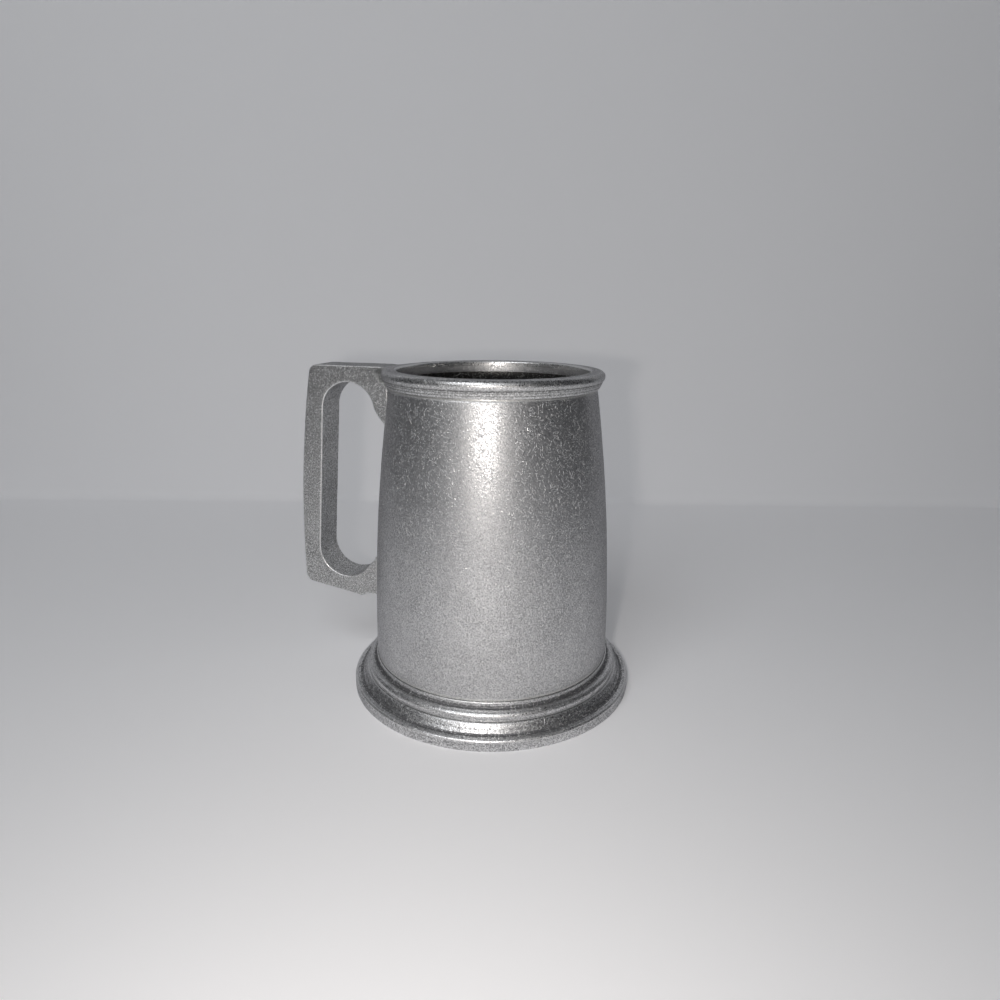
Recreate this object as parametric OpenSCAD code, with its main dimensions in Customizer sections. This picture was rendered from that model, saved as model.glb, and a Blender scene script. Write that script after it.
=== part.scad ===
// Pewter tankard of about a pint, without a lid: a tapered drum between a rim moulding and a foot
// moulding, a bottom disc let into the foot, and a squared cast handle, soldered together.
// Millimetres, +Z up. The origin is on the drum's axis, at the level that the foot stands on.
// The handle points along -X.

/* [Drum] */
// Height from the table to the top of the lip
overall_h = 120; // [105:1:140]
// Outside diameter of the drum just above the foot moulding
drum_bottom_d = 89; // [82:0.5:96]
// Outside diameter of the drum just under the rim moulding
drum_top_d = 74.4; // [68:0.2:82]
// How far the drum's side swells out of a straight taper, halfway up
drum_swell = 1.9; // [0.5:0.1:3]
// Thickness of the drum's wall
drum_wall = 2.8; // [2.4:0.1:4]

/* [Rim moulding] */
// Height of the rim moulding
rim_h = 6.4; // [5.5:0.1:9]
// How far the lip stands out from the top of the drum
lip_overhang = 2.5; // [2:0.1:3.5]
// Radius of the lip's rounded outer edge
lip_edge_r = 1.9; // [1.3:0.1:2.1]
// Radius of the lip's inner edge, where one drinks
lip_inner_r = 0.8; // [0.4:0.1:1.2]
// Thickness of the lip above the drum's sleeve
lip_cap = 1.8; // [1.4:0.1:2.4]
// Thickness of the sleeve at the drum's top that the rim moulding slips over
sleeve_t = 1.2; // [0.8:0.1:1.5]
// How far the band's lower edge stands out over the top of the drum
band_step = 0.7; // [0.3:0.1:1]
// Depth of the fine step between the band and the lip
quirk = 0.15; // [0.1:0.05:0.4]

/* [Foot moulding] */
// Diameter that the foot stands on
foot_d = 107; // [100:0.5:120]
// Height of the whole foot moulding
foot_h = 13.6; // [12:0.1:17]
// Height of the upright band at the foot's edge
plinth_h = 4.2; // [3.4:0.1:5.5]
// Radius on the top edge of that band
plinth_edge_r = 0.9; // [0.4:0.1:1.2]
// Width of the ring that touches the table
stand_w = 3.6; // [2.5:0.1:5]
// Width of the foot's upper land, which carries the drum's shoulder
foot_land = 0.9; // [0.7:0.05:1.2]

/* [Bottom] */
// Height of the bottom disc's underside above the table
bottom_lift = 3.8; // [3:0.1:5]
// Thickness of the bottom disc
bottom_t = 2.2; // [1.6:0.1:3]
// Thickness of the ledge in the foot that carries the disc
ledge_t = 1.8; // [1.2:0.1:2.4]
// Width of that ledge under the disc
ledge_w = 2.6; // [1.8:0.1:4]

/* [Handle] */
// Width of the handle across its flat sides, along Y
handle_w = 13.4; // [10:0.2:18]
// Thickness of the grip
grip_t = 7.3; // [6:0.1:10]
// Outward bow of the grip's outer side
grip_bow = 0.9; // [0.3:0.1:2]
// Clear room for the fingers between the drum and the grip, near the lower arm
finger_room = 26; // [23:0.5:32]
// Radius of the finger gap's upper end
upper_arch_r = 10.5; // [8:0.5:11]
// Radius of the finger gap's lower end
lower_arch_r = 11; // [8:0.5:12]
// Thickness of the upper arm over the finger gap
upper_arm_t = 6.1; // [4.5:0.1:8]
// Thickness of the lower arm under the finger gap
lower_arm_t = 6.9; // [5.5:0.1:9]
// Height of the finger gap's lowest point above the table
gap_floor = 36.7; // [30:0.1:44]
// Slope of the lower arm's underside, in degrees
lower_arm_slope = 9.5; // [4:0.5:14]
// Thickness of the bracket that carries the upper arm down the drum
bracket_t = 5.4; // [4:0.1:7]
// Depth of the step behind the lower arm's heel
heel_step = 1.4; // [0.8:0.1:2]
// Distance from the drum to the heel
heel_out = 7.6; // [6:0.1:10]
// Radius of the handle's outer corners, seen from its flat side
handle_corner_r = 3.5; // [2:0.1:5]
// Radius of the long edges between the handle's flat sides and its bands
handle_edge_r = 1.4; // [0.6:0.1:1.8]

/* [Solder] */
// Reach of the solder fillets along the handle's joints
seam_leg = 1; // [0.7:0.1:1.6]
// Depth of the grooves that the ring seams fill
seam_groove = 0.45; // [0.3:0.05:0.6]
// How far the ring seams stay below the surface
seam_sink = 0.12; // [0.06:0.02:0.2]
// Reach of the fillet around the bottom disc, inside
bottom_leg = 2; // [1.2:0.1:3]
// Radial room for solder between pieces that slip into each other
solder_gap = 0.05; // [0.03:0.01:0.1]

/* [Hidden] */
$fn = 240;
// Steps along the drum's swelling side and along a moulding's arc
side_steps = 16;
arc_steps = 9;
// Steps around each of the handle's long edges
edge_steps = 3;
// Chamfer on sharp edges that rest on the table or on a ledge
break_edge = 0.3;
// How far cutters run past the faces they cut
past = 1;

pewter = "#8f8d89";
worn_pewter = "#9b9994";
solder = "#b4b3af";

// Radii and levels of the vessel
bottom_r = drum_bottom_d / 2;
top_r = drum_top_d / 2;
foot_r = foot_d / 2;
rim_z = overall_h - rim_h;
top_bore_r = top_r - drum_wall;
bottom_bore_r = bottom_r - drum_wall;
sleeve_r = top_bore_r + sleeve_t;
sleeve_top = overall_h - lip_cap - solder_gap;
spigot_r = bottom_r - foot_land;
disc_top = bottom_lift + bottom_t;
lip_r = top_r + lip_overhang;
lip_z = overall_h - lip_edge_r;

function mix(a, b, t) = a + (b - a) * t;
// Points on an elliptical arc
function arc(c, rx, ry, from, to) =
    [for (i = [0 : arc_steps]) let (a = mix(from, to, i / arc_steps)) c + [rx * cos(a), ry * sin(a)]];
// The drum's outside radius at a height: a straight taper with a parabolic swell
function up_side(z) = (z - foot_h) / (rim_z - foot_h);
function drum_r(z) = mix(bottom_r, top_r, up_side(z)) + 4 * drum_swell * up_side(z) * (1 - up_side(z));
// The drum's side from one height to another, moved inwards by a wall
function drum_side(from, to, wall = 0) =
    [for (i = [0 : side_steps]) let (z = mix(from, to, i / side_steps)) [drum_r(z) - wall, z]];

// Wall of the vessel, open at both ends. A sleeve at its top holds the rim moulding and a spigot
// at its bottom goes into the foot.
module drum() {
    color(pewter) rotate_extrude() polygon(concat(
        [[bottom_r - seam_groove, foot_h]],
        drum_side(foot_h + seam_groove, rim_z - seam_groove),
        [[top_r - seam_groove, rim_z], [sleeve_r, rim_z],
            [sleeve_r, sleeve_top], [top_bore_r, sleeve_top]],
        drum_side(rim_z, foot_h, drum_wall),
        [[bottom_bore_r, disc_top + solder_gap], [spigot_r, disc_top + solder_gap], [spigot_r, foot_h]]
    ));
}

// Lip's rounded outer edge, from its underside to its top
lip_under = -45;
lip_edge = arc([lip_r - lip_edge_r, lip_z], lip_edge_r, lip_edge_r, lip_under, 90);
// Flaring band between the drum and the lip, set back a little from the lip's underside
band_low = [top_r + band_step, rim_z + seam_groove];
band_top = lip_edge[0] - [quirk, quirk];

// Ring over the drum's sleeve, with a plain flaring band under a rounded lip
module rim_moulding() {
    color(worn_pewter) rotate_extrude() polygon(concat(
        [[top_r - seam_groove, rim_z], [top_r, rim_z + seam_groove], band_low, band_top],
        lip_edge,
        arc([top_bore_r + lip_inner_r, overall_h - lip_inner_r], lip_inner_r, lip_inner_r, 90, 180),
        [[top_bore_r, sleeve_top + solder_gap], [sleeve_r + solder_gap, sleeve_top + solder_gap],
            [sleeve_r + solder_gap, rim_z]]
    ));
}

// A point on the foot's moulding: across from the drum to the foot's edge, and up from the plinth
function member(across, up) = [mix(bottom_r, foot_r, across), mix(plinth_h, foot_h - seam_groove, up)];
function member_arc(c, rx, ry, from, to) = [for (p = arc(c, rx, ry, from, to)) member(p[0], p[1])];

// The moulding's members as shares of its width and height, from the edge inwards
splay_foot = [0.711, 0.028];
splay_top = [0.456, 0.393];
groove_foot = [0.4, 0.399];
groove_top = 0.433;
bead_c = [0.206, 0.534];
bead_size = [0.222, 0.225];
cove_top = [0.05, 0.955];
cove_size = [bead_c[0] - cove_top[0], cove_top[1] - bead_c[1] - bead_size[1]];

// Stepped ring that the tankard stands on: plinth, splay, bead and cove outside, and inside a bore
// for the drum's spigot with a ledge for the bottom disc
module foot_moulding() {
    bore_r = spigot_r + solder_gap;
    color(worn_pewter) rotate_extrude() polygon(concat(
        [[foot_r - break_edge, 0], [foot_r, break_edge]],
        arc([foot_r - plinth_edge_r, plinth_h - plinth_edge_r], plinth_edge_r, plinth_edge_r, 0, 90),
        [member(splay_foot[0], splay_foot[1]), member(splay_top[0], splay_top[1]),
            member(groove_foot[0], groove_foot[1]), member(bead_c[0] + bead_size[0], groove_top)],
        member_arc(bead_c, bead_size[0], bead_size[1], 0, 90),
        member_arc([bead_c[0], cove_top[1]], cove_size[0], cove_size[1], 270, 180),
        [member(cove_top[0], 1), [bottom_r, foot_h - seam_groove]],
        [[bottom_r - seam_groove, foot_h], [bore_r, foot_h], [bore_r, bottom_lift],
            [bore_r - ledge_w, bottom_lift], [bore_r - ledge_w, bottom_lift - ledge_t],
            [foot_r - stand_w, bottom_lift - ledge_t], [foot_r - stand_w, 0]]
    ));
}

// Flat disc dropped into the foot, which closes the vessel
module bottom_disc() {
    color(pewter) rotate_extrude() polygon([
        [0, bottom_lift], [spigot_r - break_edge, bottom_lift], [spigot_r, bottom_lift + break_edge],
        [spigot_r, disc_top], [0, disc_top]
    ]);
}

// The drum and the rim moulding, filled solid, for fitting the handle and its solder against.
// The handle's end stands upright over the lip's widest line, and solder fills the corner there.
module vessel_outside(upright) {
    top = upright ? [[lip_r, lip_z], [lip_r, overall_h + past], [0, overall_h + past]]
        : concat([for (p = lip_edge) if (p[1] >= lip_z) p], [[0, overall_h]]);
    rotate_extrude() polygon(concat(
        [[0, foot_h]], drum_side(foot_h, rim_z), [band_low, band_top],
        [for (p = lip_edge) if (p[1] < lip_z) p], top
    ));
}

// The two ends of the finger gap, as places out from the axis and up
upper_arch_z = overall_h - upper_arm_t - upper_arch_r;
upper_arch = [drum_r(upper_arch_z) + bracket_t + upper_arch_r, upper_arch_z];
lower_arch_z = gap_floor + lower_arch_r;
lower_arch = [drum_r(lower_arch_z) + finger_room - lower_arch_r, lower_arch_z];

// Circle through the grip's outer side at the height of both ends, bowed by grip_bow between them
bow_top = upper_arch + [upper_arch_r + grip_t, 0];
bow_low = lower_arch + [lower_arch_r + grip_t, 0];
bow_chord = norm(bow_top - bow_low);
bow_r = bow_chord ^ 2 / (8 * grip_bow) + grip_bow / 2;
bow_in = [bow_low[1] - bow_top[1], bow_top[0] - bow_low[0]] / bow_chord;
bow_c = (bow_top + bow_low) / 2 + bow_in * (bow_r - grip_bow);

// The lower arm's underside runs through its thinnest place, under the middle of the gap
function underside(r) = gap_floor - lower_arm_t + (r - lower_arch[0]) * tan(lower_arm_slope);
function on_underside(r) = [r, underside(r)];
heel_r = drum_r(gap_floor) + heel_out;
neck_z = underside(heel_r) + heel_step;
// The finger gap widens towards the drum: down a bracket above, up a gusset below
bracket_slope = 50;
gusset_slope = 45;
nose = upper_arch - [upper_arch_r, 0];
function bracket(r) = nose[1] - (nose[0] - r) * tan(bracket_slope);
gusset_a = gusset_slope - 180;
gusset_foot = lower_arch + lower_arch_r * heading(gusset_a);
function gusset(r) = gusset_foot[1] + (gusset_foot[0] - r) * tan(gusset_slope);
// The grip's inner side touches both ends of the gap at this angle
arch_line = lower_arch - upper_arch;
grip_a = atan2(arch_line[1], arch_line[0]) + acos((upper_arch_r - lower_arch_r) / norm(arch_line));

// Centres of the outer corners, which touch the bow and the top, or the bow and the underside
corner_bow_r = bow_r - handle_corner_r;
top_corner_z = overall_h - handle_corner_r;
top_corner = [bow_c[0] + sqrt(corner_bow_r ^ 2 - (top_corner_z - bow_c[1]) ^ 2), top_corner_z];
under_dir = heading(lower_arm_slope);
under_up = [-under_dir[1], under_dir[0]];
low_from = on_underside(lower_arch[0]) + handle_corner_r * under_up - bow_c;
low_along = low_from * under_dir;
low_corner = bow_c + low_from
    + (sqrt(low_along ^ 2 - low_from * low_from + corner_bow_r ^ 2) - low_along) * under_dir;

// Stretches of the handle's sides, each without its last point
function heading(a) = [cos(a), sin(a)];
function line(a, b, n) = [for (i = [0 : n - 1]) mix(a, b, i / n)];
function turn(c, r, from, to, n) = [for (i = [0 : n - 1]) c + r * heading(mix(from, to, i / n))];
function bend(a, corner, b, n) =
    [for (i = [0 : n - 1]) let (t = i / n) mix(mix(a, corner, t), mix(corner, b, t), t)];
function angle_from(c, p) = atan2(p[1] - c[1], p[0] - c[0]);
function on_top(p) = [p[0], overall_h];

// The handle runs from inside the rim over the gap, down the grip and back into the drum
inside_r = top_bore_r - past;
// The bracket's slope bends into the upper arch from here to this angle
nose_in = nose - handle_corner_r * heading(bracket_slope);
nose_a = 165;
nose_out = upper_arch + upper_arch_r * heading(nose_a);
// Stretches of the two arches that face the outer corners
shoulder_a = [62, 30];
elbow_a = [-25, -60];
heel_front = on_underside(heel_r + heel_step);
heel_back = [heel_r - heel_step, neck_z];
top_corner_a = angle_from(bow_c, top_corner);
low_corner_a = angle_from(bow_c, low_corner);
low_corner_end = low_corner - handle_corner_r * under_up;

// Steps in each stretch, the same on both sides, so that their points lie opposite each other
end_steps = 2;
nose_steps = 4;
arch_steps = 6;
short_steps = 3;
corner_steps = 6;
grip_steps = 8;
arm_steps = 5;
heel_steps = 4;
gap_side = concat(
    line([inside_r, bracket(inside_r)], nose_in, end_steps),
    bend(nose_in, nose, nose_out, nose_steps),
    turn(upper_arch, upper_arch_r, nose_a, 90, arch_steps),
    turn(upper_arch, upper_arch_r, 90, shoulder_a[0], short_steps),
    turn(upper_arch, upper_arch_r, shoulder_a[0], shoulder_a[1], corner_steps),
    turn(upper_arch, upper_arch_r, shoulder_a[1], grip_a, short_steps),
    line(upper_arch + upper_arch_r * heading(grip_a), lower_arch + lower_arch_r * heading(grip_a),
        grip_steps),
    turn(lower_arch, lower_arch_r, grip_a, elbow_a[0], short_steps),
    turn(lower_arch, lower_arch_r, elbow_a[0], elbow_a[1], corner_steps),
    turn(lower_arch, lower_arch_r, elbow_a[1], -90, short_steps),
    turn(lower_arch, lower_arch_r, -90, gusset_a, arm_steps),
    line(gusset_foot, [heel_back[0], gusset(heel_back[0])], heel_steps),
    line([heel_back[0], gusset(heel_back[0])], [inside_r, gusset(inside_r)], end_steps),
    [[inside_r, gusset(inside_r)]]
);
outer_side = concat(
    line([inside_r, overall_h], on_top(nose_in), end_steps),
    line(on_top(nose_in), on_top(nose_out), nose_steps),
    line(on_top(nose_out), on_top(upper_arch), arch_steps),
    line(on_top(upper_arch), on_top(top_corner), short_steps),
    turn(top_corner, handle_corner_r, 90, top_corner_a, corner_steps),
    turn(bow_c, bow_r, top_corner_a, angle_from(bow_c, bow_top), short_steps),
    turn(bow_c, bow_r, angle_from(bow_c, bow_top), angle_from(bow_c, bow_low), grip_steps),
    turn(bow_c, bow_r, angle_from(bow_c, bow_low), low_corner_a, short_steps),
    turn(low_corner, handle_corner_r, low_corner_a, lower_arm_slope - 90, corner_steps),
    line(low_corner_end, on_underside(lower_arch[0]), short_steps),
    line(on_underside(lower_arch[0]), heel_front, arm_steps),
    bend(heel_front, on_underside(heel_r), heel_back, heel_steps),
    line(heel_back, [inside_r, neck_z], end_steps),
    [[inside_r, neck_z]]
);

// Rounded rectangle around the handle from its gap side a to its outer side b
function handle_section(a, b) = let (
    deep = norm(b - a),
    along = (b - a) / deep,
    side = handle_w / 2 - handle_edge_r,
    corners = [[deep - handle_edge_r, side], [handle_edge_r, side],
        [handle_edge_r, -side], [deep - handle_edge_r, -side]]
) [for (k = [0 : 3], i = [0 : edge_steps])
    let (q = corners[k] + handle_edge_r * heading(90 * (k + i / edge_steps)), p = a + along * q[0])
        [-p[0], q[1], p[1]]];

// Solid through a row of closed rings of points
module loft(rings) {
    last = len(rings) - 1;
    n = len(rings[0]);
    walls = [for (k = [0 : last - 1], i = [0 : n - 1])
        let (p = k * n + i, q = k * n + (i + 1) % n) each [[p, q + n, q], [p, p + n, q + n]]];
    start_cap = [for (i = [0 : n - 1]) i];
    end_cap = [for (i = [n - 1 : -1 : 0]) last * n + i];
    polyhedron([for (ring = rings) each ring], concat(walls, [start_cap, end_cap]));
}

// The casting as it leaves the mould, with its ends not yet fitted to the vessel
module handle_casting() {
    loft([for (k = [0 : len(gap_side) - 1]) handle_section(gap_side[k], outer_side[k])]);
}

// Squared handle, cast in one piece, with its two ends fitted to the drum and the rim
module handle() {
    color(pewter) difference() {
        handle_casting();
        vessel_outside(upright = true);
    }
}

// Ring of solder in a groove between two turned pieces
module ring_seam(r, z) {
    depth = seam_groove - seam_sink;
    color(solder) rotate_extrude()
        polygon([[r - seam_groove, z], [r - seam_sink, z - depth], [r - seam_sink, z + depth]]);
}

module rim_seam() {
    ring_seam(top_r, rim_z);
}

module foot_seam() {
    ring_seam(bottom_r, foot_h);
}

// Hollow fillet in the corner between the drum and the bottom disc
module bottom_seam() {
    color(solder) rotate_extrude() polygon(concat(
        [[bottom_bore_r, disc_top + bottom_leg], [bottom_bore_r, disc_top]],
        arc([bottom_bore_r - bottom_leg, disc_top + bottom_leg], bottom_leg, bottom_leg, 270, 360)
    ));
}

// Solder that flares at 45 degrees from the handle on to the vessel. Each station, from the top
// down, gives the vessel's radius and the heights of the flare's edges in the handle and in the vessel.
module solder_flare(stations) {
    thin = handle_w / 2 - past;
    wide = handle_w / 2 + 2 * seam_leg;
    loft([for (s = stations) let (out = -s[0] - seam_leg - past, in = seam_leg - s[0])
        [[out, thin, s[1]], [in, wide, s[2]], [in, -wide, s[2]], [out, -thin, s[1]]]]);
}

module handle_upper_seam() {
    tip_r = drum_r(nose[1]);
    lip_top = overall_h - seam_sink;
    color(solder) difference() {
        solder_flare([[lip_r, lip_top, lip_top], [lip_r, lip_z, lip_z], [top_r, rim_z, rim_z],
            [tip_r, bracket(tip_r + seam_leg + past), bracket(tip_r) - 2 * seam_leg]]);
        handle_casting();
        vessel_outside(upright = false);
    }
}

module handle_lower_seam() {
    neck_r = drum_r(neck_z);
    flare_top = gusset(neck_r + seam_leg + past) - seam_leg;
    color(solder) difference() {
        solder_flare([[drum_r(flare_top), flare_top, flare_top],
            [neck_r, neck_z + past, neck_z - 2 * seam_leg]]);
        handle_casting();
        vessel_outside(upright = true);
    }
}

drum();
rim_moulding();
foot_moulding();
bottom_disc();
handle();
rim_seam();
foot_seam();
bottom_seam();
handle_upper_seam();
handle_lower_seam();
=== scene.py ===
import math

import bmesh
import bpy
from mathutils import Matrix, Vector, noise


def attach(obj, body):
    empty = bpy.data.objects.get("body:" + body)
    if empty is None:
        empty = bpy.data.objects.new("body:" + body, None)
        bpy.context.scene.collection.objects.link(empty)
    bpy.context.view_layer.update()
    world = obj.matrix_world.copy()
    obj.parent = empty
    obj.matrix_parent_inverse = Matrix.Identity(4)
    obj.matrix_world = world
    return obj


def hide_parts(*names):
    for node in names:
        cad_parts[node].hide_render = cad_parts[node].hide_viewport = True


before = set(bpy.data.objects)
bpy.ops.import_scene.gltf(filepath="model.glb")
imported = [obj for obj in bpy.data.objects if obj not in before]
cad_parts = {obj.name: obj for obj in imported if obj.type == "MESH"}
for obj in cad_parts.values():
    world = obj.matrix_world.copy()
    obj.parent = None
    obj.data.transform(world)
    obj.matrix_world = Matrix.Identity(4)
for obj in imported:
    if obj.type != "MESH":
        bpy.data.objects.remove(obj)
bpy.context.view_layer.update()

# Drum: the tankard's wall, cast in pewter and turned to an even thickness, with a slight swell in
# its taper. A sleeve at its top carries the rim and a spigot at its bottom goes into the foot, and
# both joints are soldered. Its inside is painted dark below a line near the mouth, as painted
# shadow of the lip.
MM = 0.001
RIM_Z = 113.6
FOOT_TOP_Z = 13.6
DRUM_TOP_R = 37.2
DRUM_BOTTOM_R = 44.5
DRUM_SWELL = 1.9
DRUM_WALL = 2.8
SEAM_GROOVE = 0.45
MOUTH_R = DRUM_TOP_R - DRUM_WALL
SLEEVE_WALL = 1.2
SLEEVE_R = MOUTH_R + SLEEVE_WALL
SLEEVE_TOP_Z = 118.15
SPIGOT_STEP = 0.9
SPIGOT_R = DRUM_BOTTOM_R - SPIGOT_STEP
SPIGOT_Z = 6.05
# Height below which the inside is painted dark, as painted shadow of the lip
PAINTED_SHADOW_Z = 115.8
TOUCHING = 1e-7
# Cosine past which a face counts as facing a direction
FACING = 0.5


def drum_radius(z):
    """Outside radius of the drum in mm at a height in mm."""
    t = (z - FOOT_TOP_Z) / (RIM_Z - FOOT_TOP_Z)
    taper = DRUM_BOTTOM_R + (DRUM_TOP_R - DRUM_BOTTOM_R) * t
    return taper + 4 * DRUM_SWELL * t * (1 - t)


def drum_side(low, high, inward, steps):
    """Points up the drum's side between two heights, moved inwards by a distance, in mm."""
    heights = [low + (high - low) * i / steps for i in range(steps + 1)]
    return [(drum_radius(z) - inward, z) for z in heights]


def turn(outline, steps):
    """Spins a closed outline of (radius, height) in mm once round the upright axis."""
    bm = bmesh.new()
    ring = [bm.verts.new((r * MM, 0, z * MM)) for r, z in outline]
    edges = [bm.edges.new(pair) for pair in zip(ring, ring[1:] + ring[:1])]
    bmesh.ops.spin(bm, geom=ring + edges, cent=(0, 0, 0), axis=(0, 0, 1), angle=math.tau,
                   steps=steps, use_merge=True)
    bmesh.ops.remove_doubles(bm, verts=bm.verts, dist=TOUCHING)
    on_axis = [e for e in bm.edges if not e.link_faces]
    bmesh.ops.delete(bm, geom=on_axis, context="EDGES")
    bmesh.ops.recalc_face_normals(bm, faces=bm.faces)
    return bm


def soften(bm, corner, radius, segments, nearness=0.004):
    """Rounds the turned edge that runs round the axis at a corner of the outline, in mm."""
    def on_corner(v):
        r, z = math.hypot(v.co.x, v.co.y) / MM, v.co.z / MM
        return math.hypot(r - corner[0], z - corner[1]) < nearness
    edges = [e for e in bm.edges if on_corner(e.verts[0]) and on_corner(e.verts[1])]
    bmesh.ops.bevel(bm, geom=edges, offset=radius * MM, offset_type="OFFSET", segments=segments,
                    profile=0.5, affect="EDGES", clamp_overlap=True, material=-1)


def wobble(bm, depth, spacing):
    """Gives a surface the slight waviness of hand finishing, by depth and spacing in mm."""
    bm.normal_update()
    for v in bm.verts:
        v.co += v.normal * depth * MM * noise.noise(v.co / (spacing * MM))


def finish_piece(name, bm, slot, materials, *nodes, shortest_span=0.05, sharp_from=50):
    """Marks how sharply the surface bends, which shows where it is worn, and where painted shade
    and dirt darken it, and makes the mesh a smooth-shaded piece that stands for CAD nodes. Span in
    mm, sharp angle in degrees."""
    edge_mark = bm.verts.layers.float.new("edge")
    bm.normal_update()
    for v in bm.verts:
        bends = [0.0]
        for e in v.link_edges:
            if len(e.link_faces) == 2:
                near, far = (f.calc_center_median() for f in e.link_faces)
                span = max((far - near).length / MM, shortest_span)
                bends.append(e.calc_face_angle_signed(0) / span)
        v[edge_mark] = max(bends, key=abs)
    mesh = bpy.data.meshes.new(name)
    bm.to_mesh(mesh)
    bm.free()
    mesh.shade_smooth()
    mesh.set_sharp_from_angle(angle=math.radians(sharp_from))
    for material in materials:
        mesh.materials.append(material)
    piece = bpy.data.objects.new(name, mesh)
    bpy.context.scene.collection.objects.link(piece)
    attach(piece, "root")
    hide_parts(*nodes)


def linear(code):
    """An sRGB hex colour as linear RGBA."""
    parts = [int(code[i:i + 2], 16) / 255 for i in (1, 3, 5)]
    return [c / 12.92 if c <= 0.04045 else ((c + 0.055) / 1.055) ** 2.4 for c in parts] + [1.0]


def add(tree, kind, inputs, **settings):
    """Adds a node with its settings, and gives each input a value or links it to a socket."""
    node = tree.nodes.new(kind)
    for key, value in settings.items():
        setattr(node, key, value)
    for key, value in inputs.items():
        if isinstance(value, bpy.types.NodeSocket):
            tree.links.new(value, node.inputs[key])
        else:
            node.inputs[key].default_value = value
    return node


# Cast pewter, tumbled with grit: a soft grey metal under a dense grain and countless short dents
# that glint, which are also painted brighter, partly as burnished metal and partly as painted
# glints. Its corners are darkened with painted shade and dirt, and its edges are rubbed brighter.
# The grain and the dents are really about a third as wide, and are drawn coarser because they
# would not show otherwise.
GRAIN_MM = 0.42
CLOUD_MM = 11.0
DENTS = ({"spacing": 1.05, "length": 1.0, "width": 0.33, "share": 0.75},
         {"spacing": 1.35, "length": 1.3, "width": 0.35, "share": 0.65},
         {"spacing": 2.4, "length": 2.2, "width": 0.38, "share": 0.35},
         {"spacing": 7.0, "length": 4.2, "width": 0.42, "share": 0.3})
# Share of a dent's reach that is flat, and share of the dents that have their full depth
DENT_FLAT = 0.4
DENT_FULL = 0.4
# How far each mark moves the tone, which runs from dull at 0 to bright at 1
GRAIN_TONE = 0.26
PATCH_TONE = (0.22, 0.34)
# Dents are painted brighter, partly as burnished metal and partly as painted glints
DENT_BURNISH_AND_GLINT_TONE = 0.58
WORN_TONE = 0.6
# How far concave corners are darkened, as painted shade with some dirt
SHADE_AND_DIRT_TONE = -0.48
# How far the grain, from low to high, and dirt move the roughness
GRAIN_ROUGHNESS = (0.05, -0.22)
DIRT_ROUGHNESS = 0.25


def tumbling_marks(tree, place, normal, spacing, length, width, share):
    """Short straight dents at random in the surface, one to a cell and some cells left empty.
    Sizes in mm, share of cells from 0 to 1."""
    cells = add(tree, "ShaderNodeTexVoronoi",
                {"Vector": place, "Scale": 1 / (spacing * MM)}).outputs
    off = add(tree, "ShaderNodeVectorMath", {0: place, 1: cells["Position"]},
              operation="SUBTRACT").outputs[0]
    aim = add(tree, "ShaderNodeVectorMath", {0: cells["Color"], 1: (0.5, 0.5, 0.5)},
              operation="SUBTRACT").outputs[0]
    across = add(tree, "ShaderNodeVectorMath", {0: aim, 1: normal},
                 operation="CROSS_PRODUCT").outputs[0]
    across = add(tree, "ShaderNodeVectorMath", {0: across}, operation="NORMALIZE").outputs[0]
    along = add(tree, "ShaderNodeVectorMath", {0: normal, 1: across},
                operation="CROSS_PRODUCT").outputs[0]
    reach = []
    for direction, size in ((along, length / 2 * MM), (across, width / 2 * MM)):
        away = add(tree, "ShaderNodeVectorMath", {0: off, 1: direction},
                   operation="DOT_PRODUCT").outputs["Value"]
        away = add(tree, "ShaderNodeMath", {0: away}, operation="ABSOLUTE").outputs[0]
        reach.append(add(tree, "ShaderNodeMapRange",
                         {"Value": away, "From Min": size * DENT_FLAT, "From Max": size,
                          "To Min": 1.0, "To Max": 0.0},
                         interpolation_type="SMOOTHSTEP").outputs[0])
    mark = add(tree, "ShaderNodeMath", {0: reach[0], 1: reach[1]},
               operation="MULTIPLY").outputs[0]
    draw = add(tree, "ShaderNodeTexWhiteNoise", {"Vector": cells["Position"]}).outputs["Value"]
    kept = add(tree, "ShaderNodeMapRange",
               {"Value": draw, "From Min": 1 - share, "From Max": 1 - share * DENT_FULL}).outputs[0]
    return add(tree, "ShaderNodeMath", {0: mark, 1: kept}, operation="MULTIPLY").outputs[0]


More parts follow.
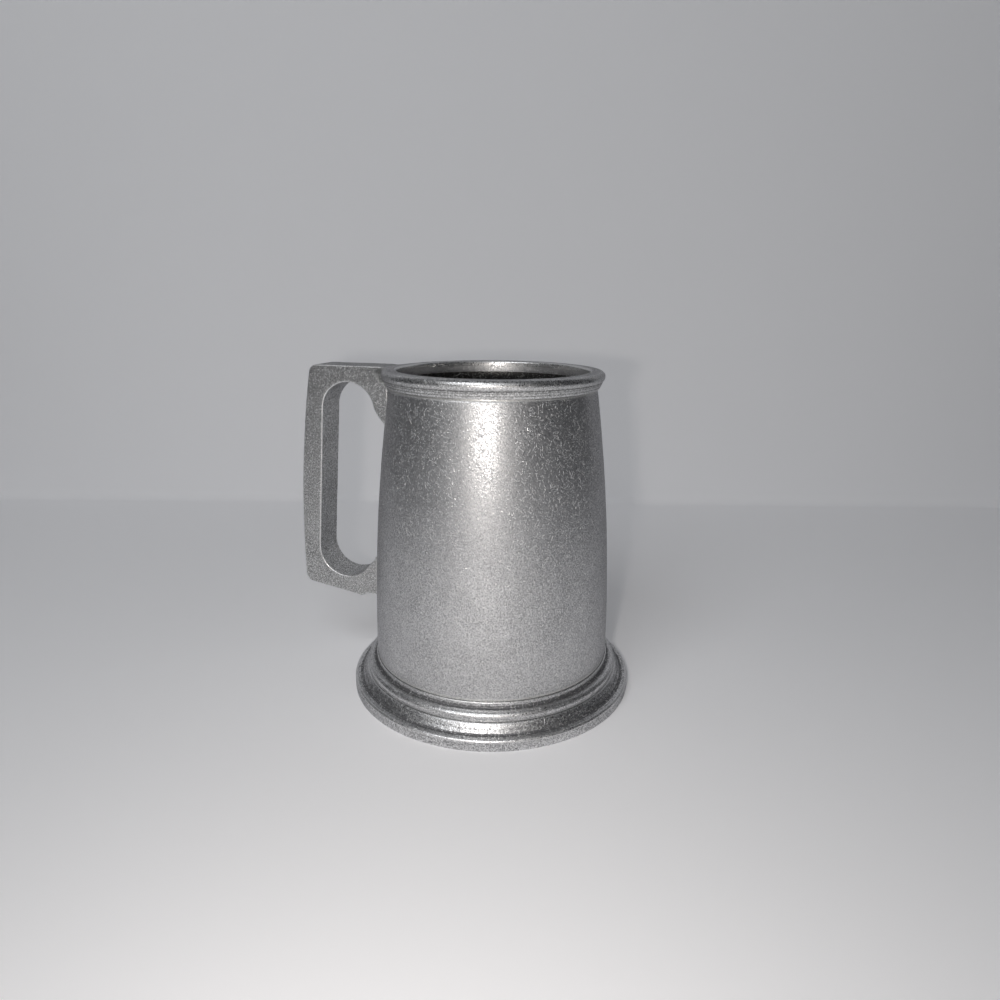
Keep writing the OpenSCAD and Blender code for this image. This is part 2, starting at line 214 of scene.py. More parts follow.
def tumbled_pewter(name, dull, plain, bright, roughness,
                   grain_depth=0.036, dent_depth=0.08, dent_sizes=DENTS):
    """Pewter between a dull, a plain and a bright hex colour. Depths in mm."""
    material = bpy.data.materials.new(name)
    material.use_nodes = True
    tree = material.node_tree
    shader = tree.nodes["Principled BSDF"]
    place = add(tree, "ShaderNodeTexCoord", {}).outputs["Object"]
    normal = add(tree, "ShaderNodeNewGeometry", {}).outputs["Normal"]
    edge = add(tree, "ShaderNodeAttribute", {}, attribute_name="edge").outputs["Fac"]
    cloud = add(tree, "ShaderNodeTexNoise",
                {"Vector": place, "Scale": 1 / (CLOUD_MM * MM), "Detail": 4.0,
                 "Roughness": 0.6}).outputs[0]
    grain = add(tree, "ShaderNodeTexNoise",
                {"Vector": place, "Scale": 1 / (GRAIN_MM * MM), "Detail": 2.0,
                 "Roughness": 0.6}).outputs[0]
    dents = 0.0
    for sizes in dent_sizes:
        marks = tumbling_marks(tree, place, normal, **sizes)
        dents = add(tree, "ShaderNodeMath", {0: marks, 1: dents}, operation="MAXIMUM").outputs[0]

    tone = add(tree, "ShaderNodeMapRange",
               {"Value": grain, "From Min": 0.36, "From Max": 0.64,
                "To Min": -GRAIN_TONE, "To Max": GRAIN_TONE}).outputs[0]
    patch = add(tree, "ShaderNodeMapRange",
                {"Value": cloud, "From Min": 0.3, "From Max": 0.7,
                 "To Min": PATCH_TONE[0], "To Max": PATCH_TONE[1]}).outputs[0]
    tone = add(tree, "ShaderNodeMath", {0: tone, 1: patch}, operation="ADD").outputs[0]
    # Dents brighten the colour: burnished metal and painted glints
    tone = add(tree, "ShaderNodeMath", {0: dents, 1: DENT_BURNISH_AND_GLINT_TONE, 2: tone},
               operation="MULTIPLY_ADD").outputs[0]
    worn = add(tree, "ShaderNodeMapRange",
               {"Value": edge, "From Min": 0.1, "From Max": 1.6,
                "To Max": WORN_TONE}).outputs[0]
    tone = add(tree, "ShaderNodeMath", {0: tone, 1: worn}, operation="ADD").outputs[0]
    # Concave corners are darkened and roughened: painted shade, with some dirt
    shade_and_dirt = add(tree, "ShaderNodeMapRange",
               {"Value": edge, "From Min": -0.7, "From Max": -0.1,
                "To Min": 1.0, "To Max": 0.0}).outputs[0]
    tone = add(tree, "ShaderNodeMath", {0: shade_and_dirt, 1: SHADE_AND_DIRT_TONE, 2: tone},
               operation="MULTIPLY_ADD", use_clamp=True).outputs[0]
    ramp = add(tree, "ShaderNodeValToRGB", {"Fac": tone})
    ramp.color_ramp.elements[0].color = linear(dull)
    ramp.color_ramp.elements[1].color = linear(bright)
    ramp.color_ramp.elements.new(0.5).color = linear(plain)
    tree.links.new(ramp.outputs["Color"], shader.inputs["Base Color"])

    rough = add(tree, "ShaderNodeMapRange",
                {"Value": grain, "From Min": 0.48, "From Max": 0.62,
                 "To Min": roughness + GRAIN_ROUGHNESS[0],
                 "To Max": roughness + GRAIN_ROUGHNESS[1]},
                interpolation_type="SMOOTHSTEP").outputs[0]
    rough = add(tree, "ShaderNodeMath", {0: shade_and_dirt, 1: DIRT_ROUGHNESS, 2: rough},
                operation="MULTIPLY_ADD").outputs[0]
    tree.links.new(rough, shader.inputs["Roughness"])
    shader.inputs["Metallic"].default_value = 1.0
    shader.inputs["Specular Tint"].default_value = linear("#b4b4b7")
    shader.distribution = "GGX"

    height = add(tree, "ShaderNodeMath", {0: grain, 1: grain_depth / dent_depth},
                 operation="MULTIPLY").outputs[0]
    deep = add(tree, "ShaderNodeMath", {0: dents, 1: 2.0}, operation="POWER").outputs[0]
    height = add(tree, "ShaderNodeMath", {0: height, 1: deep}, operation="SUBTRACT").outputs[0]
    bump = add(tree, "ShaderNodeBump", {"Height": height, "Distance": dent_depth * MM})
    tree.links.new(bump.outputs["Normal"], shader.inputs["Normal"])
    return material


drum_low = FOOT_TOP_Z + SEAM_GROOVE
drum_high = RIM_Z - SEAM_GROOVE
drum_outline = (
    [(DRUM_BOTTOM_R - SEAM_GROOVE, FOOT_TOP_Z)]
    + drum_side(drum_low, drum_high, inward=0, steps=40)
    + [(DRUM_TOP_R - SEAM_GROOVE, RIM_Z), (SLEEVE_R, RIM_Z), (SLEEVE_R, SLEEVE_TOP_Z),
       (MOUTH_R, SLEEVE_TOP_Z), (MOUTH_R, PAINTED_SHADOW_Z)]
    + drum_side(RIM_Z, FOOT_TOP_Z, inward=DRUM_WALL, steps=24)
    + [(DRUM_BOTTOM_R - DRUM_WALL, SPIGOT_Z), (SPIGOT_R, SPIGOT_Z), (SPIGOT_R, FOOT_TOP_Z)]
)
drum = turn(drum_outline, steps=256)
soften(drum, (drum_radius(drum_high), drum_high), radius=0.4, segments=4)
soften(drum, (drum_radius(drum_low), drum_low), radius=0.12, segments=2)
wobble(drum, depth=0.05, spacing=14)
# Inside faces below that height take the dark pewter: painted shadow of the lip
for face in drum.faces:
    middle = face.calc_center_median()
    inside = face.normal.xy.dot(middle.xy.normalized()) < -FACING
    face.material_index = int(inside and middle.z < PAINTED_SHADOW_Z * MM)
# The drum's pewter is pale and satin under its full grain, and painted shadow of the lip darkens
# it inside.
drum_pewter = tumbled_pewter("tumbled_pewter_drum", dull="#aeaeb0", plain="#eaeaeb",
                             bright="#ffffff", roughness=0.5, grain_depth=0.048)
# Painted shadow: this dark inside pewter stands in for the shade under the lip
painted_shadow_pewter = tumbled_pewter("painted_shadow_pewter_inside", dull="#3e3d3b", plain="#72716f",
                                bright="#c2c1be", roughness=0.54)
finish_piece("drum_wall", drum, "drum_pewter", [drum_pewter, painted_shadow_pewter], "drum")

# Rim: a ring cast in pewter with a rounded lip over a tapered band, slipped over the drum's sleeve
# and soldered. It was turned in the lathe, which left fine lines round the band, and drinking has
# worn the lip smooth.
LIP_TOP_Z = 120.0
LIP_R = 39.7
LIP_EDGE = 1.9
MOUTH_EDGE = 0.8
FIT = 0.05
BAND_LOW = (37.9, 114.05)
BAND_TOP = (38.99, 116.61)
# Share of the way up the band, and how deep the tool cut there
BAND_LINES = ((0, 0), (0.3, 0), (0.35, 0.02), (0.4, 0), (0.66, 0), (0.7, 0.02), (0.74, 0), (1, 0))


def sweep_outline(centre, radius, start, end, steps):
    """Points along an arc of a turned outline, by angles in degrees, with both its ends."""
    angles = [math.radians(start + (end - start) * i / steps) for i in range(steps + 1)]
    return [(centre[0] + radius * math.cos(a), centre[1] + radius * math.sin(a)) for a in angles]


band = [(BAND_LOW[0] + (BAND_TOP[0] - BAND_LOW[0]) * share - depth,
         BAND_LOW[1] + (BAND_TOP[1] - BAND_LOW[1]) * share) for share, depth in BAND_LINES]
rim_outline = (
    [(DRUM_TOP_R - SEAM_GROOVE, RIM_Z), (DRUM_TOP_R, RIM_Z + SEAM_GROOVE)] + band
    + sweep_outline((LIP_R - LIP_EDGE, LIP_TOP_Z - LIP_EDGE), LIP_EDGE, -45, 90, steps=14)
    + sweep_outline((MOUTH_R + MOUTH_EDGE, LIP_TOP_Z - MOUTH_EDGE), MOUTH_EDGE, 90, 180, steps=6)
    + [(MOUTH_R, SLEEVE_TOP_Z + FIT), (SLEEVE_R + FIT, SLEEVE_TOP_Z + FIT),
       (SLEEVE_R + FIT, RIM_Z)]
)
rim = turn(rim_outline, steps=256)
soften(rim, BAND_LOW, radius=0.2, segments=3)
wobble(rim, depth=0.05, spacing=9)
# Turned and worn pewter is smoother than the drum's, so its highlights are sharper.
rim_pewter = tumbled_pewter("turned_pewter_rim", dull="#909090", plain="#e8e8e8",
                            bright="#ffffff", roughness=0.42, grain_depth=0.02, dent_depth=0.045)
finish_piece("rim_ring", rim, "rim_pewter", [rim_pewter], "rim_moulding")

# Foot: a heavy ring cast in pewter with a plinth, a hollow splay, a bead and a cove. It was
# turned, slipped on the drum's spigot and soldered, and a ledge inside it carries the bottom.
FOOT_R = 53.5
FOOT_BORE_R = SPIGOT_R + FIT
STAND_W = 3.6
STAND_R = FOOT_R - STAND_W
LEDGE_W = 2.6
LEDGE_R = FOOT_BORE_R - LEDGE_W
LEDGE_Z = (2.0, 3.8)
PLINTH_EDGE = (FOOT_R, 4.2)
SPLAY_FOOT = (50.9, 4.45)
SPLAY_HOLLOW = [(50.14, 5.53), (49.68, 6.03), (49.36, 6.64)]
SPLAY_TOP = (48.6, 7.72)
BEAD_GROOVE = (48.1, 7.8)
BEAD_FOOT = (48.35, 8.1)
BEAD_TOP = (48.35, 11.0)
COVE = (44.95, 11.0)
COVE_TOP = (44.95, 13.15)
foot_outline = (
    [(FOOT_R, 0), PLINTH_EDGE, SPLAY_FOOT] + SPLAY_HOLLOW
    + [SPLAY_TOP, BEAD_GROOVE, BEAD_FOOT, BEAD_TOP, COVE, COVE_TOP,
       (DRUM_BOTTOM_R, FOOT_TOP_Z - SEAM_GROOVE), (DRUM_BOTTOM_R - SEAM_GROOVE, FOOT_TOP_Z),
       (FOOT_BORE_R, FOOT_TOP_Z), (FOOT_BORE_R, LEDGE_Z[1]), (LEDGE_R, LEDGE_Z[1]),
       (LEDGE_R, LEDGE_Z[0]), (STAND_R, LEDGE_Z[0]), (STAND_R, 0)]
)
foot = turn(foot_outline, steps=384)
for corner, radius, segments in ((PLINTH_EDGE, 0.9, 6), (SPLAY_FOOT, 0.7, 5), (SPLAY_TOP, 0.35, 3),
                                 (BEAD_TOP, 1.95, 9), (COVE, 0.9, 5), (COVE_TOP, 0.25, 3),
                                 ((FOOT_R, 0), 0.35, 3), ((STAND_R, 0), 0.35, 3)):
    soften(foot, corner, radius, segments)
wobble(foot, depth=0.05, spacing=11)
# Turned pewter again, darker in the hollows with painted shade and dirt, and rubbed bright on the
# edges.
foot_pewter = tumbled_pewter("turned_pewter_foot", dull="#868688", plain="#e8e8e9",
                             bright="#ffffff", roughness=0.45, grain_depth=0.02, dent_depth=0.045)
finish_piece("foot_ring", foot, "foot_pewter", [foot_pewter], "foot_moulding")

# Bottom: a plain disc cast in pewter, which lies on the foot's ledge under the drum's spigot and
# closes the vessel. It was faced in the lathe on both sides.
DISC_Z = (3.8, 6.0)
disc_outline = [(0, DISC_Z[0]), (SPIGOT_R, DISC_Z[0]), (SPIGOT_R, DISC_Z[1]), (0, DISC_Z[1])]
disc = turn(disc_outline, steps=128)
soften(disc, (SPIGOT_R, DISC_Z[0]), radius=0.3, segments=2)
# Nothing rubs the disc, so its pewter has dulled to a darker grey.
disc_pewter = tumbled_pewter("faced_pewter_bottom", dull="#82817f", plain="#bebdba",
                             bright="#e6e5e2", roughness=0.45)
finish_piece("bottom_plate", disc, "disc_pewter", [disc_pewter], "bottom_disc")

# Handle: one solid pewter casting with flat sides, squared outside and arched inside, with a heel
# under its lower arm. Its ends are filed to the drum and the lip and soldered, and hands have
# rounded its edges.
HANDLE_W = 13.4
HANDLE_EDGE = 1.4
CORNER_R = 3.5
GRIP_T = 7.3
GRIP_BOW = 0.9
UPPER_ARCH_R = 10.5
UPPER_ARCH_Z = 103.4
BRACKET_REACH = 5.4
BRACKET_SLOPE = 50
BRACKET_TIP_Z = 96
LOWER_ARCH_R = 11.0
LOWER_ARCH_Z = 47.7
GAP_DEPTH = 26
GUSSET_SLOPE = 45
GUSSET_END_Z = 46
ARM_SLOPE = 9.5
LOWER_ARM_T = 6.9
HEEL_Z = 36.7
HEEL_REACH = 7.6
HEEL_STEP = 1.4
BURIED = 1.3
BURIED_DROP = 0.3
SIDE_MARGIN = 1e-6
# Angles on the arches in degrees: where the bracket's nose ends, and which face the outer corners
NOSE_A = 165
UPPER_TURN = (62, 30)
LOWER_TURN = (-25, -60)


def heading(angle):
    """Unit vector at an angle in degrees."""
    return Vector((math.cos(math.radians(angle)), math.sin(math.radians(angle))))


def angle_from(centre, point):
    """Angle in degrees at which a point is seen from a centre."""
    return math.degrees(math.atan2(point[1] - centre[1], point[0] - centre[0]))


def sweep(centre, radius, start, end, steps):
    """Points along an arc, without its last."""
    return [centre + radius * heading(start + (end - start) * i / steps) for i in range(steps)]


def stretch(start, end, steps):
    """Points along a straight line, without its last."""
    return [start.lerp(end, i / steps) for i in range(steps)]


def curl(start, corner, end, steps):
    """Points along a bend past a corner, without its last."""
    shares = [i / steps for i in range(steps)]
    return [start.lerp(corner, t).lerp(corner.lerp(end, t), t) for t in shares]


upper_arch = Vector((drum_radius(UPPER_ARCH_Z) + BRACKET_REACH + UPPER_ARCH_R, UPPER_ARCH_Z))
lower_arch = Vector((drum_radius(LOWER_ARCH_Z) + GAP_DEPTH - LOWER_ARCH_R, LOWER_ARCH_Z))
bow_top = upper_arch + Vector((UPPER_ARCH_R + GRIP_T, 0))
bow_low = lower_arch + Vector((LOWER_ARCH_R + GRIP_T, 0))
bow_chord = (bow_top - bow_low).length
bow_r = bow_chord ** 2 / (8 * GRIP_BOW) + GRIP_BOW / 2
bow_in = Vector((bow_low[1] - bow_top[1], bow_top[0] - bow_low[0])) / bow_chord
bow = (bow_top + bow_low) / 2 + bow_in * (bow_r - GRIP_BOW)


def underside(r):
    """Place on the lower arm's underside at a radius."""
    drop = (r - lower_arch[0]) * math.tan(math.radians(ARM_SLOPE))
    return Vector((r, lower_arch[1] - LOWER_ARCH_R - LOWER_ARM_T + drop))


def on_top(point):
    """The place on the handle's level top above a point."""
    return Vector((point[0], LIP_TOP_Z))


top_corner_z = LIP_TOP_Z - CORNER_R
top_corner_out = math.sqrt((bow_r - CORNER_R) ** 2 - (top_corner_z - bow[1]) ** 2)
top_corner = Vector((bow[0] + top_corner_out, top_corner_z))
under_dir = heading(ARM_SLOPE)
under_up = heading(ARM_SLOPE + 90)
low_from = underside(lower_arch[0]) + CORNER_R * under_up - bow
low_along = low_from.dot(under_dir)
low_out = math.sqrt(low_along ** 2 - low_from.length_squared + (bow_r - CORNER_R) ** 2) - low_along
low_corner = bow + low_from + low_out * under_dir
top_corner_a = angle_from(bow, top_corner)
low_corner_a = angle_from(bow, low_corner)
bow_top_a = angle_from(bow, bow_top)
bow_low_a = angle_from(bow, bow_low)

nose = upper_arch - Vector((UPPER_ARCH_R, 0))
nose_in = nose - CORNER_R * heading(BRACKET_SLOPE)
nose_out = upper_arch + UPPER_ARCH_R * heading(NOSE_A)
tip_run = nose[0] - (drum_radius(BRACKET_TIP_Z) - BURIED)
tip = nose - tip_run * heading(BRACKET_SLOPE) / math.cos(math.radians(BRACKET_SLOPE))
arch_line = lower_arch - upper_arch
arch_lean = math.degrees(math.acos((UPPER_ARCH_R - LOWER_ARCH_R) / arch_line.length))
grip_a = angle_from((0, 0), arch_line) + arch_lean
heel = underside(drum_radius(HEEL_Z) + HEEL_REACH)
heel_front = underside(heel[0] + HEEL_STEP)
heel_back = Vector((heel[0] - HEEL_STEP, heel[1] + HEEL_STEP))
end_r = drum_radius(GUSSET_END_Z) - BURIED
gusset_foot = lower_arch + LOWER_ARCH_R * heading(GUSSET_SLOPE - 180)
gusset_back = gusset_foot + (gusset_foot[0] - heel_back[0]) * Vector((-1, 1))
gusset_end = gusset_foot + (gusset_foot[0] - end_r) * Vector((-1, 1))

# Both sides have the same counts of points, so that each point has its partner across the metal
gap_side = (
    stretch(tip, nose_in, 2)
    + curl(nose_in, nose, nose_out, 6)
    + sweep(upper_arch, UPPER_ARCH_R, NOSE_A, 90, 9)
    + sweep(upper_arch, UPPER_ARCH_R, 90, UPPER_TURN[0], 4)
    + sweep(upper_arch, UPPER_ARCH_R, *UPPER_TURN, 8)
    + sweep(upper_arch, UPPER_ARCH_R, UPPER_TURN[1], grip_a, 4)
    + stretch(upper_arch + UPPER_ARCH_R * heading(grip_a),
              lower_arch + LOWER_ARCH_R * heading(grip_a), 14)
    + sweep(lower_arch, LOWER_ARCH_R, grip_a, LOWER_TURN[0], 4)
    + sweep(lower_arch, LOWER_ARCH_R, *LOWER_TURN, 8)
    + sweep(lower_arch, LOWER_ARCH_R, LOWER_TURN[1], -90, 4)
    + sweep(lower_arch, LOWER_ARCH_R, -90, GUSSET_SLOPE - 180, 6)
    + stretch(gusset_foot, gusset_back, 6)
    + stretch(gusset_back, gusset_end, 3)
    + [gusset_end]
)
outer_side = (
    stretch(Vector((LIP_R - BURIED, LIP_TOP_Z - BURIED_DROP)), on_top(nose_in), 2)
    + stretch(on_top(nose_in), on_top(nose_out), 6)
    + stretch(on_top(nose_out), on_top(upper_arch), 9)
    + stretch(on_top(upper_arch), on_top(top_corner), 4)
    + sweep(top_corner, CORNER_R, 90, top_corner_a, 8)
    + sweep(bow, bow_r, top_corner_a, bow_top_a, 4)
    + sweep(bow, bow_r, bow_top_a, bow_low_a, 14)
    + sweep(bow, bow_r, bow_low_a, low_corner_a, 4)
    + sweep(low_corner, CORNER_R, low_corner_a, ARM_SLOPE - 90, 8)
    + stretch(low_corner - CORNER_R * under_up, underside(lower_arch[0]), 4)
    + stretch(underside(lower_arch[0]), heel_front, 6)
    + curl(heel_front, heel, heel_back, 6)
    + stretch(heel_back, Vector((end_r, heel_back[1])), 3)
    + [Vector((end_r, heel_back[1]))]
)

handle = bmesh.new()
rows = [[handle.verts.new((-p[0] * MM, -HANDLE_W / 2 * MM, p[1] * MM)) for p in pair]
        for pair in zip(gap_side, outer_side)]
for (gap, out), (next_gap, next_out) in zip(rows, rows[1:]):
    handle.faces.new((gap, out, next_out, next_gap))
cross_edges = [handle.edges.get(row) for row in rows]
bmesh.ops.subdivide_edges(handle, edges=cross_edges, cuts=5, use_grid_fill=True)
pushed = bmesh.ops.extrude_face_region(handle, geom=handle.faces[:], use_keep_orig=True)
far_side = [v for v in pushed["geom"] if isinstance(v, bmesh.types.BMVert)]
bmesh.ops.translate(handle, verts=far_side, vec=(0, HANDLE_W * MM, 0))
bmesh.ops.recalc_face_normals(handle, faces=handle.faces)
flat_y = HANDLE_W / 2 * MM - SIDE_MARGIN
bands = [f for f in handle.faces if abs(f.normal.y) < FACING]
across_bands = [e for f in bands for e in f.edges
                if abs(e.verts[0].co.y - e.verts[1].co.y) > flat_y]
bmesh.ops.subdivide_edges(handle, edges=list(set(across_bands)), cuts=7, use_grid_fill=True)
long_edges = [e for e in handle.edges if all(abs(v.co.y) > flat_y for v in e.verts)
              and any(abs(f.normal.y) < FACING for f in e.link_faces)]
bmesh.ops.bevel(handle, geom=long_edges, offset=HANDLE_EDGE * MM, offset_type="OFFSET",
                segments=5, profile=0.5, affect="EDGES", clamp_overlap=True, material=-1)
wobble(handle, depth=0.07, spacing=8)
# The handle's pewter is grittier and darker than the drum's, and has only the short dents.
handle_pewter = tumbled_pewter("tumbled_pewter_handle", dull="#787878", plain="#e1e1e1",
                               bright="#ffffff", roughness=0.48, grain_depth=0.045,
                               dent_sizes=DENTS[:2])
finish_piece("handle_casting", handle, "handle_pewter", [handle_pewter], "handle")

# Solder: soft tin solder run into the joints under the rim, over the foot, round the bottom inside
# and round both ends of the handle, where it is built up on the rim and beside the lower neck to
# blend the handle in. It was scraped and rubbed.
SEAM_SINK = 0.12
SEAM_CROWN = 0.06
BOTTOM_LEG = 2.0
FINE_LEG, HEEL_LEG, NECK_LEG, RIM_LEG = 0.65, 1.2, 2.6, 5.0
BUILD_UP_Z = 109.5
BUILD_UP_H = 6.0
UPPER_TOP_Z = 119.75
LIP_CLIMB = 1.8
SOLDER_BITE = 0.05
ROOT_BACK = 0.3
ROOT_SINK = 0.4
# Scraped solder is smooth and matt, and a little duller than the rubbed castings.
scraped_solder = tumbled_pewter("scraped_tin_solder", dull="#8a8a89", plain="#c4c4c2",
                                bright="#f0f0ee", roughness=0.55, grain_depth=0.012,
                                dent_depth=0.01)
seam_half = SEAM_GROOVE - SEAM_SINK
for name, radius, height in (("rim_seam", DRUM_TOP_R, RIM_Z),
                             ("foot_seam", DRUM_BOTTOM_R, FOOT_TOP_Z)):
    face_r = radius - SEAM_SINK
    ring = turn([(radius - SEAM_GROOVE, height), (face_r, height - seam_half),
                 (face_r + SEAM_CROWN, height), (face_r, height + seam_half)], steps=192)
    finish_piece(name + "_solder", ring, "solder", [scraped_solder], name)
corner = (DRUM_BOTTOM_R - DRUM_WALL, DISC_Z[1])
hollow_centre = (corner[0] - BOTTOM_LEG, corner[1] + BOTTOM_LEG)
hollow = sweep_outline(hollow_centre, BOTTOM_LEG, -90, 0, steps=6)
bottom_ring = turn([corner] + hollow, steps=128)
finish_piece("bottom_seam_solder", bottom_ring, "solder", [scraped_solder], "bottom_seam")


def vessel_radius(z):
    """Outside radius of the drum, the rim's band or the lip in mm at a height in mm."""
    if z < RIM_Z:
        return drum_radius(z)
    if z < BAND_LOW[1]:
        rise = (z - RIM_Z) / (BAND_LOW[1] - RIM_Z)
        return DRUM_TOP_R + (BAND_LOW[0] - DRUM_TOP_R) * rise
    if z < BAND_TOP[1]:
        rise = (z - BAND_LOW[1]) / (BAND_TOP[1] - BAND_LOW[1])
        return BAND_LOW[0] + (BAND_TOP[0] - BAND_LOW[0]) * rise
    climb = min(z - (LIP_TOP_Z - LIP_EDGE), LIP_CLIMB)
    return LIP_R - LIP_EDGE + math.sqrt(LIP_EDGE ** 2 - climb ** 2)


def on_vessel(y, z, sunk):
    """Place on the vessel's handle side at y and z, or sunk into it, in mm."""
    return Vector((-math.sqrt((vessel_radius(z) - sunk) ** 2 - y ** 2), y, z))


def run_solder(name, path, closed):
    """A hollow fillet along a joint. Each place gives y and z on the vessel, which way is out of
    the handle there, the slope in degrees at which the handle's surface leaves the vessel, and the
    fillet's leg."""
    bm = bmesh.new()
    rings = []
    for y, z, out, slope, leg in path:
        corner = on_vessel(y, z, 0)
        along = Vector((-math.cos(math.radians(slope)), 0, math.sin(math.radians(slope))))
        on_handle = corner + leg * along - SOLDER_BITE * Vector((0, out[0], out[1]))
        on_drum = on_vessel(y + leg * out[0], z + leg * out[1], SOLDER_BITE)
        arc = [on_handle * (1 - t) ** 2 + corner * 2 * t * (1 - t) + on_drum * t ** 2
               for t in (0, 0.25, 0.5, 0.75, 1)]
        root = on_vessel(y - ROOT_BACK * out[0], z - ROOT_BACK * out[1], ROOT_SINK)
        verts = [bm.verts.new(p * MM) for p in arc + [root]]
        rings.append([bm.edges.new(pair) for pair in zip(verts, verts[1:] + verts[:1])])
    for near, far in zip(rings, rings[1:] + (rings[:1] if closed else [])):
        bmesh.ops.bridge_loops(bm, edges=near + far)
    bmesh.ops.holes_fill(bm, edges=bm.edges, sides=0)
    bmesh.ops.recalc_face_normals(bm, faces=bm.faces)
    finish_piece(name + "_solder", bm, "solder", [scraped_solder], name)


def settle(height_at, y, start=70.0, rounds=30):
    """Height at which a sloping face of the handle meets the drum, at a place across the handle."""
    z = start
    for _ in range(rounds):
        z = height_at(math.sqrt(drum_radius(z) ** 2 - y ** 2))
    return z


def round_corner(side, level, toward, slopes, legs, steps=4):
    """Path round a rounded edge of the handle, from a flat side to a level face."""
    centre = (side * (HANDLE_W / 2 - HANDLE_EDGE), level - toward * HANDLE_EDGE)
    path = []
    for i in range(steps + 1):
        t = i / steps
        out = (side * math.cos(math.pi / 2 * t), toward * math.sin(math.pi / 2 * t))
        path.append((centre[0] + HANDLE_EDGE * out[0], centre[1] + HANDLE_EDGE * out[1], out,
                     slopes[0] + (slopes[1] - slopes[0]) * t, legs[0] + (legs[1] - legs[0]) * t))
    return path


def bracket(r):
    """Height of the bracket's underside at a radius."""
    return nose[1] - (nose[0] - r) * math.tan(math.radians(BRACKET_SLOPE))


def gusset(r):
    """Height of the gusset's top at a radius."""
    return gusset_foot[1] + (gusset_foot[0] - r) * math.tan(math.radians(GUSSET_SLOPE))


def upper_leg(z):
    """Leg of the upper solder at a height: fine on the drum, built up into a blend on the rim."""
    t = min(max((z - BUILD_UP_Z) / BUILD_UP_H, 0), 1)
    return FINE_LEG + (RIM_LEG - FINE_LEG) * t * t * (3 - 2 * t)


def side_y(z):
    """How far the handle's side stands out at a height, less towards its rounded top edge."""
    past = max(z - (LIP_TOP_Z - HANDLE_EDGE), 0)
    return HANDLE_W / 2 - HANDLE_EDGE + math.sqrt(HANDLE_EDGE ** 2 - past ** 2)


def other_side(path):
    """The same path on the handle's far side, run the other way."""
    return [(-y, z, (-out[0], out[1]), slope, leg) for y, z, out, slope, leg in reversed(path)]


edge_y = HANDLE_W / 2 - HANDLE_EDGE
across = [edge_y * (1 - i / 4) for i in range(1, 8)]
tip_z = settle(bracket, edge_y)
upper_run = tip_z + HANDLE_EDGE - UPPER_TOP_Z
side_down = [UPPER_TOP_Z + upper_run * i / 48 for i in range(48)]
half = ([(-side_y(z), z, (-1, 0), 0, upper_leg(z)) for z in side_down]
        + round_corner(-1, tip_z, -1, (0, BRACKET_SLOPE), (FINE_LEG, FINE_LEG)))
under = [(-y, settle(bracket, y), (0, -1), BRACKET_SLOPE, FINE_LEG) for y in across]
run_solder("handle_upper_seam", half + under + other_side(half), closed=False)
top_z, neck_z = settle(gusset, edge_y), heel_back[1]
neck_run = neck_z - top_z + 2 * HANDLE_EDGE
side_down = [top_z - HANDLE_EDGE + neck_run * i / 8 for i in range(1, 8)]
half = (round_corner(-1, top_z, 1, (0, -GUSSET_SLOPE), (NECK_LEG, FINE_LEG))[::-1]
        + [(-HANDLE_W / 2, z, (-1, 0), 0, NECK_LEG) for z in side_down]
        + round_corner(-1, neck_z, -1, (0, 0), (NECK_LEG, HEEL_LEG)))
under = [(-y, neck_z, (0, -1), 0, HEEL_LEG) for y in across]
over = [(y, settle(gusset, y), (0, 1), -GUSSET_SLOPE, FINE_LEG) for y in across]
run_solder("handle_lower_seam", half + under + other_side(half) + over, closed=True)

# Floor and backdrop: one pale matt sheet, laid flat under the tankard and hung up behind it. It
# shows part of its own pale colour to the camera and to the metal that reflects it, so that the
# lamps needn't be strong to make it pale.
CAMERA_HEADING = math.radians(15.5)
SHEET_W = 900
SHEET_FRONT = 700
BACKDROP_MM = 246
BACKDROP_H = 600
FOLD_R = 6
SHEET_GLOW = 0.1
towards = Matrix.Rotation(CAMERA_HEADING, 4, "Z")
sheet = bmesh.new()
fold = [sheet.verts.new(Vector(p) * MM) for p in ((-SHEET_W / 2, -SHEET_FRONT, 0),
                                                  (-SHEET_W / 2, BACKDROP_MM, 0),
                                                  (-SHEET_W / 2, BACKDROP_MM, BACKDROP_H))]
fold_edges = [sheet.edges.new(fold[:2]), sheet.edges.new(fold[1:])]
pulled = bmesh.ops.extrude_edge_only(sheet, edges=fold_edges)
pulled_verts = [v for v in pulled["geom"] if isinstance(v, bmesh.types.BMVert)]
bmesh.ops.translate(sheet, verts=pulled_verts, vec=(SHEET_W * MM, 0, 0))
crease = [e for e in sheet.edges if len(e.link_faces) == 2]
bmesh.ops.bevel(sheet, geom=crease, offset=FOLD_R * MM, offset_type="OFFSET", segments=6,
                profile=0.5, affect="EDGES", clamp_overlap=True, material=-1)
bmesh.ops.transform(sheet, matrix=towards, verts=sheet.verts)
sheet_mesh = bpy.data.meshes.new("backdrop_sheet")
sheet.to_mesh(sheet_mesh)
sheet.free()
sheet_mesh.shade_smooth()
# A matt white sheet is even and pale, with no highlight of its own.
matt_white = bpy.data.materials.new("matt_white_sheet")
matt_white.use_nodes = True
sheet_tree = matt_white.node_tree
sheet_shader = sheet_tree.nodes["Principled BSDF"]
sheet_shader.inputs["Base Color"].default_value = linear("#f4f4f6")
sheet_shader.inputs["Roughness"].default_value = 0.9
sheet_shader.inputs["Emission Color"].default_value = linear("#f4f4f6")
rays = add(sheet_tree, "ShaderNodeLightPath", {}).outputs
seen = add(sheet_tree, "ShaderNodeMath", {0: rays["Is Camera Ray"], 1: rays["Is Glossy Ray"]},
           operation="MAXIMUM").outputs[0]
glow = add(sheet_tree, "ShaderNodeMath", {0: seen, 1: SHEET_GLOW}, operation="MULTIPLY").outputs[0]
sheet_tree.links.new(glow, sheet_shader.inputs["Emission Strength"])
sheet_mesh.materials.append(matt_white)
backdrop = bpy.data.objects.new("backdrop_sheet", sheet_mesh)
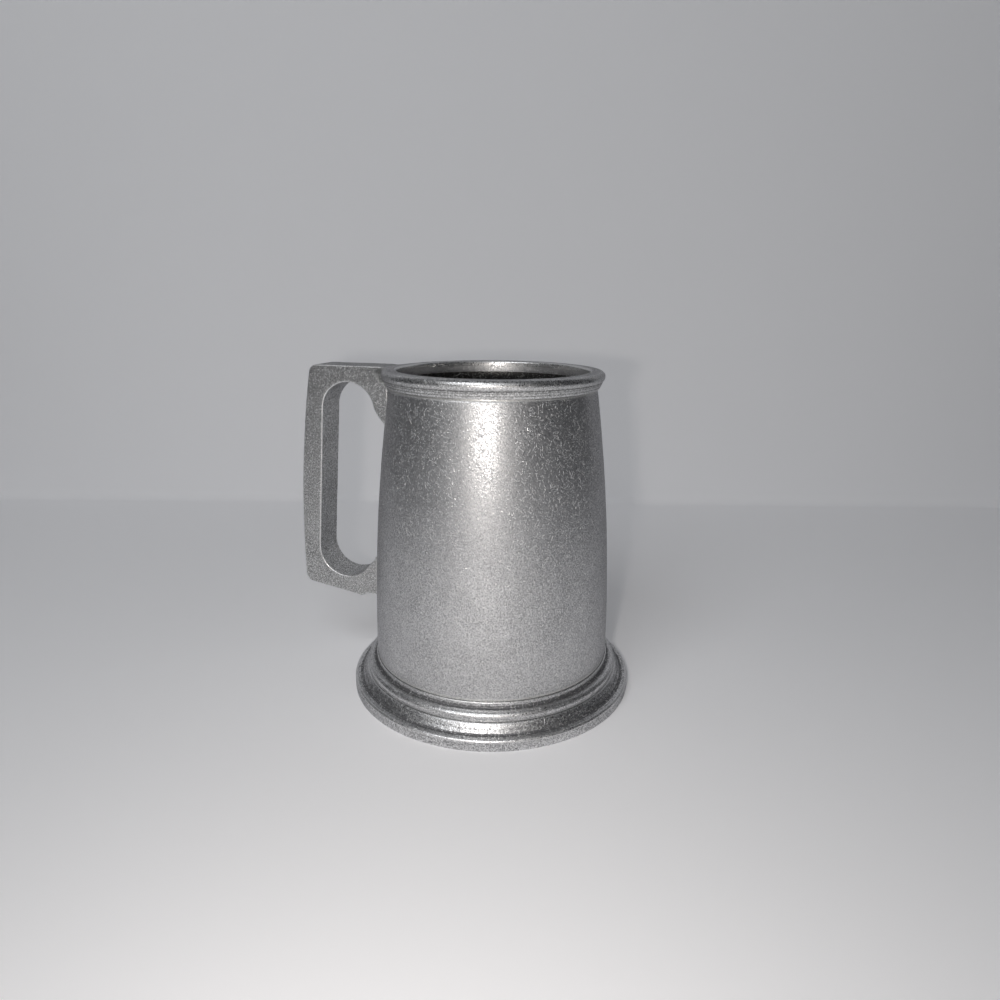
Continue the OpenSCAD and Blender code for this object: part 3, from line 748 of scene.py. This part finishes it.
bpy.context.scene.collection.objects.link(backdrop)

# Camera: where the photograph was taken from, in front of the tankard and a little above its lip,
# looking down with a wide lens.
CAMERA_PLACE = (70.25, -242.85, 143.03)
CAMERA_TILT = math.radians(74.18)
CAMERA_ROLL = math.radians(0.5)
camera_data = bpy.data.cameras.new("camera")
camera_data.sensor_width = 36.0
camera_data.lens = 25.2
camera_data.clip_start = 0.01
camera = bpy.data.objects.new("camera", camera_data)
camera.matrix_world = (Matrix.Translation(Vector(CAMERA_PLACE) * MM) @ towards
                       @ Matrix.Rotation(CAMERA_TILT, 4, "X")
                       @ Matrix.Rotation(CAMERA_ROLL, 4, "Z"))
bpy.context.scene.collection.objects.link(camera)
bpy.context.scene.camera = camera

# Light: a small softbox close to the lens, to its left and a little below it, a broad one high in
# front on the left, and an even dim room.
KEY_BESIDE_LENS = (-0.024, -0.008, 0)
KEY_TARGET = (0, -0.125, 0)
HIGH_PLACE = (-0.3, -0.72, 0.85)
ROOM_GREY = (0.018, 0.019, 0.022, 1.0)


def softbox(name, place, target, size, power, tint):
    """A square studio light at a place in m, turned towards a target, of a hex colour."""
    lamp = bpy.data.lights.new(name, "AREA")
    lamp.shape = "SQUARE"
    lamp.size = size
    lamp.energy = power
    lamp.color = linear(tint)[:3]
    light = bpy.data.objects.new(name, lamp)
    facing = (Vector(target) - Vector(place)).to_track_quat("-Z", "Y")
    light.matrix_world = Matrix.Translation(place) @ facing.to_matrix().to_4x4()
    light.visible_camera = False
    bpy.context.scene.collection.objects.link(light)


softbox("key_softbox", camera.matrix_world @ Vector(KEY_BESIDE_LENS), towards @ Vector(KEY_TARGET),
        size=0.012, power=0.208, tint="#fff9f3")
softbox("high_softbox", towards @ Vector(HIGH_PLACE), (0, 0, 0),
        size=0.8, power=4.4, tint="#f9fbfd")
world = bpy.data.worlds.new("grey_room")
world.use_nodes = True
world.node_tree.nodes["Background"].inputs["Color"].default_value = ROOM_GREY
bpy.context.scene.world = world
bpy.context.scene.view_settings.view_transform = "Standard"
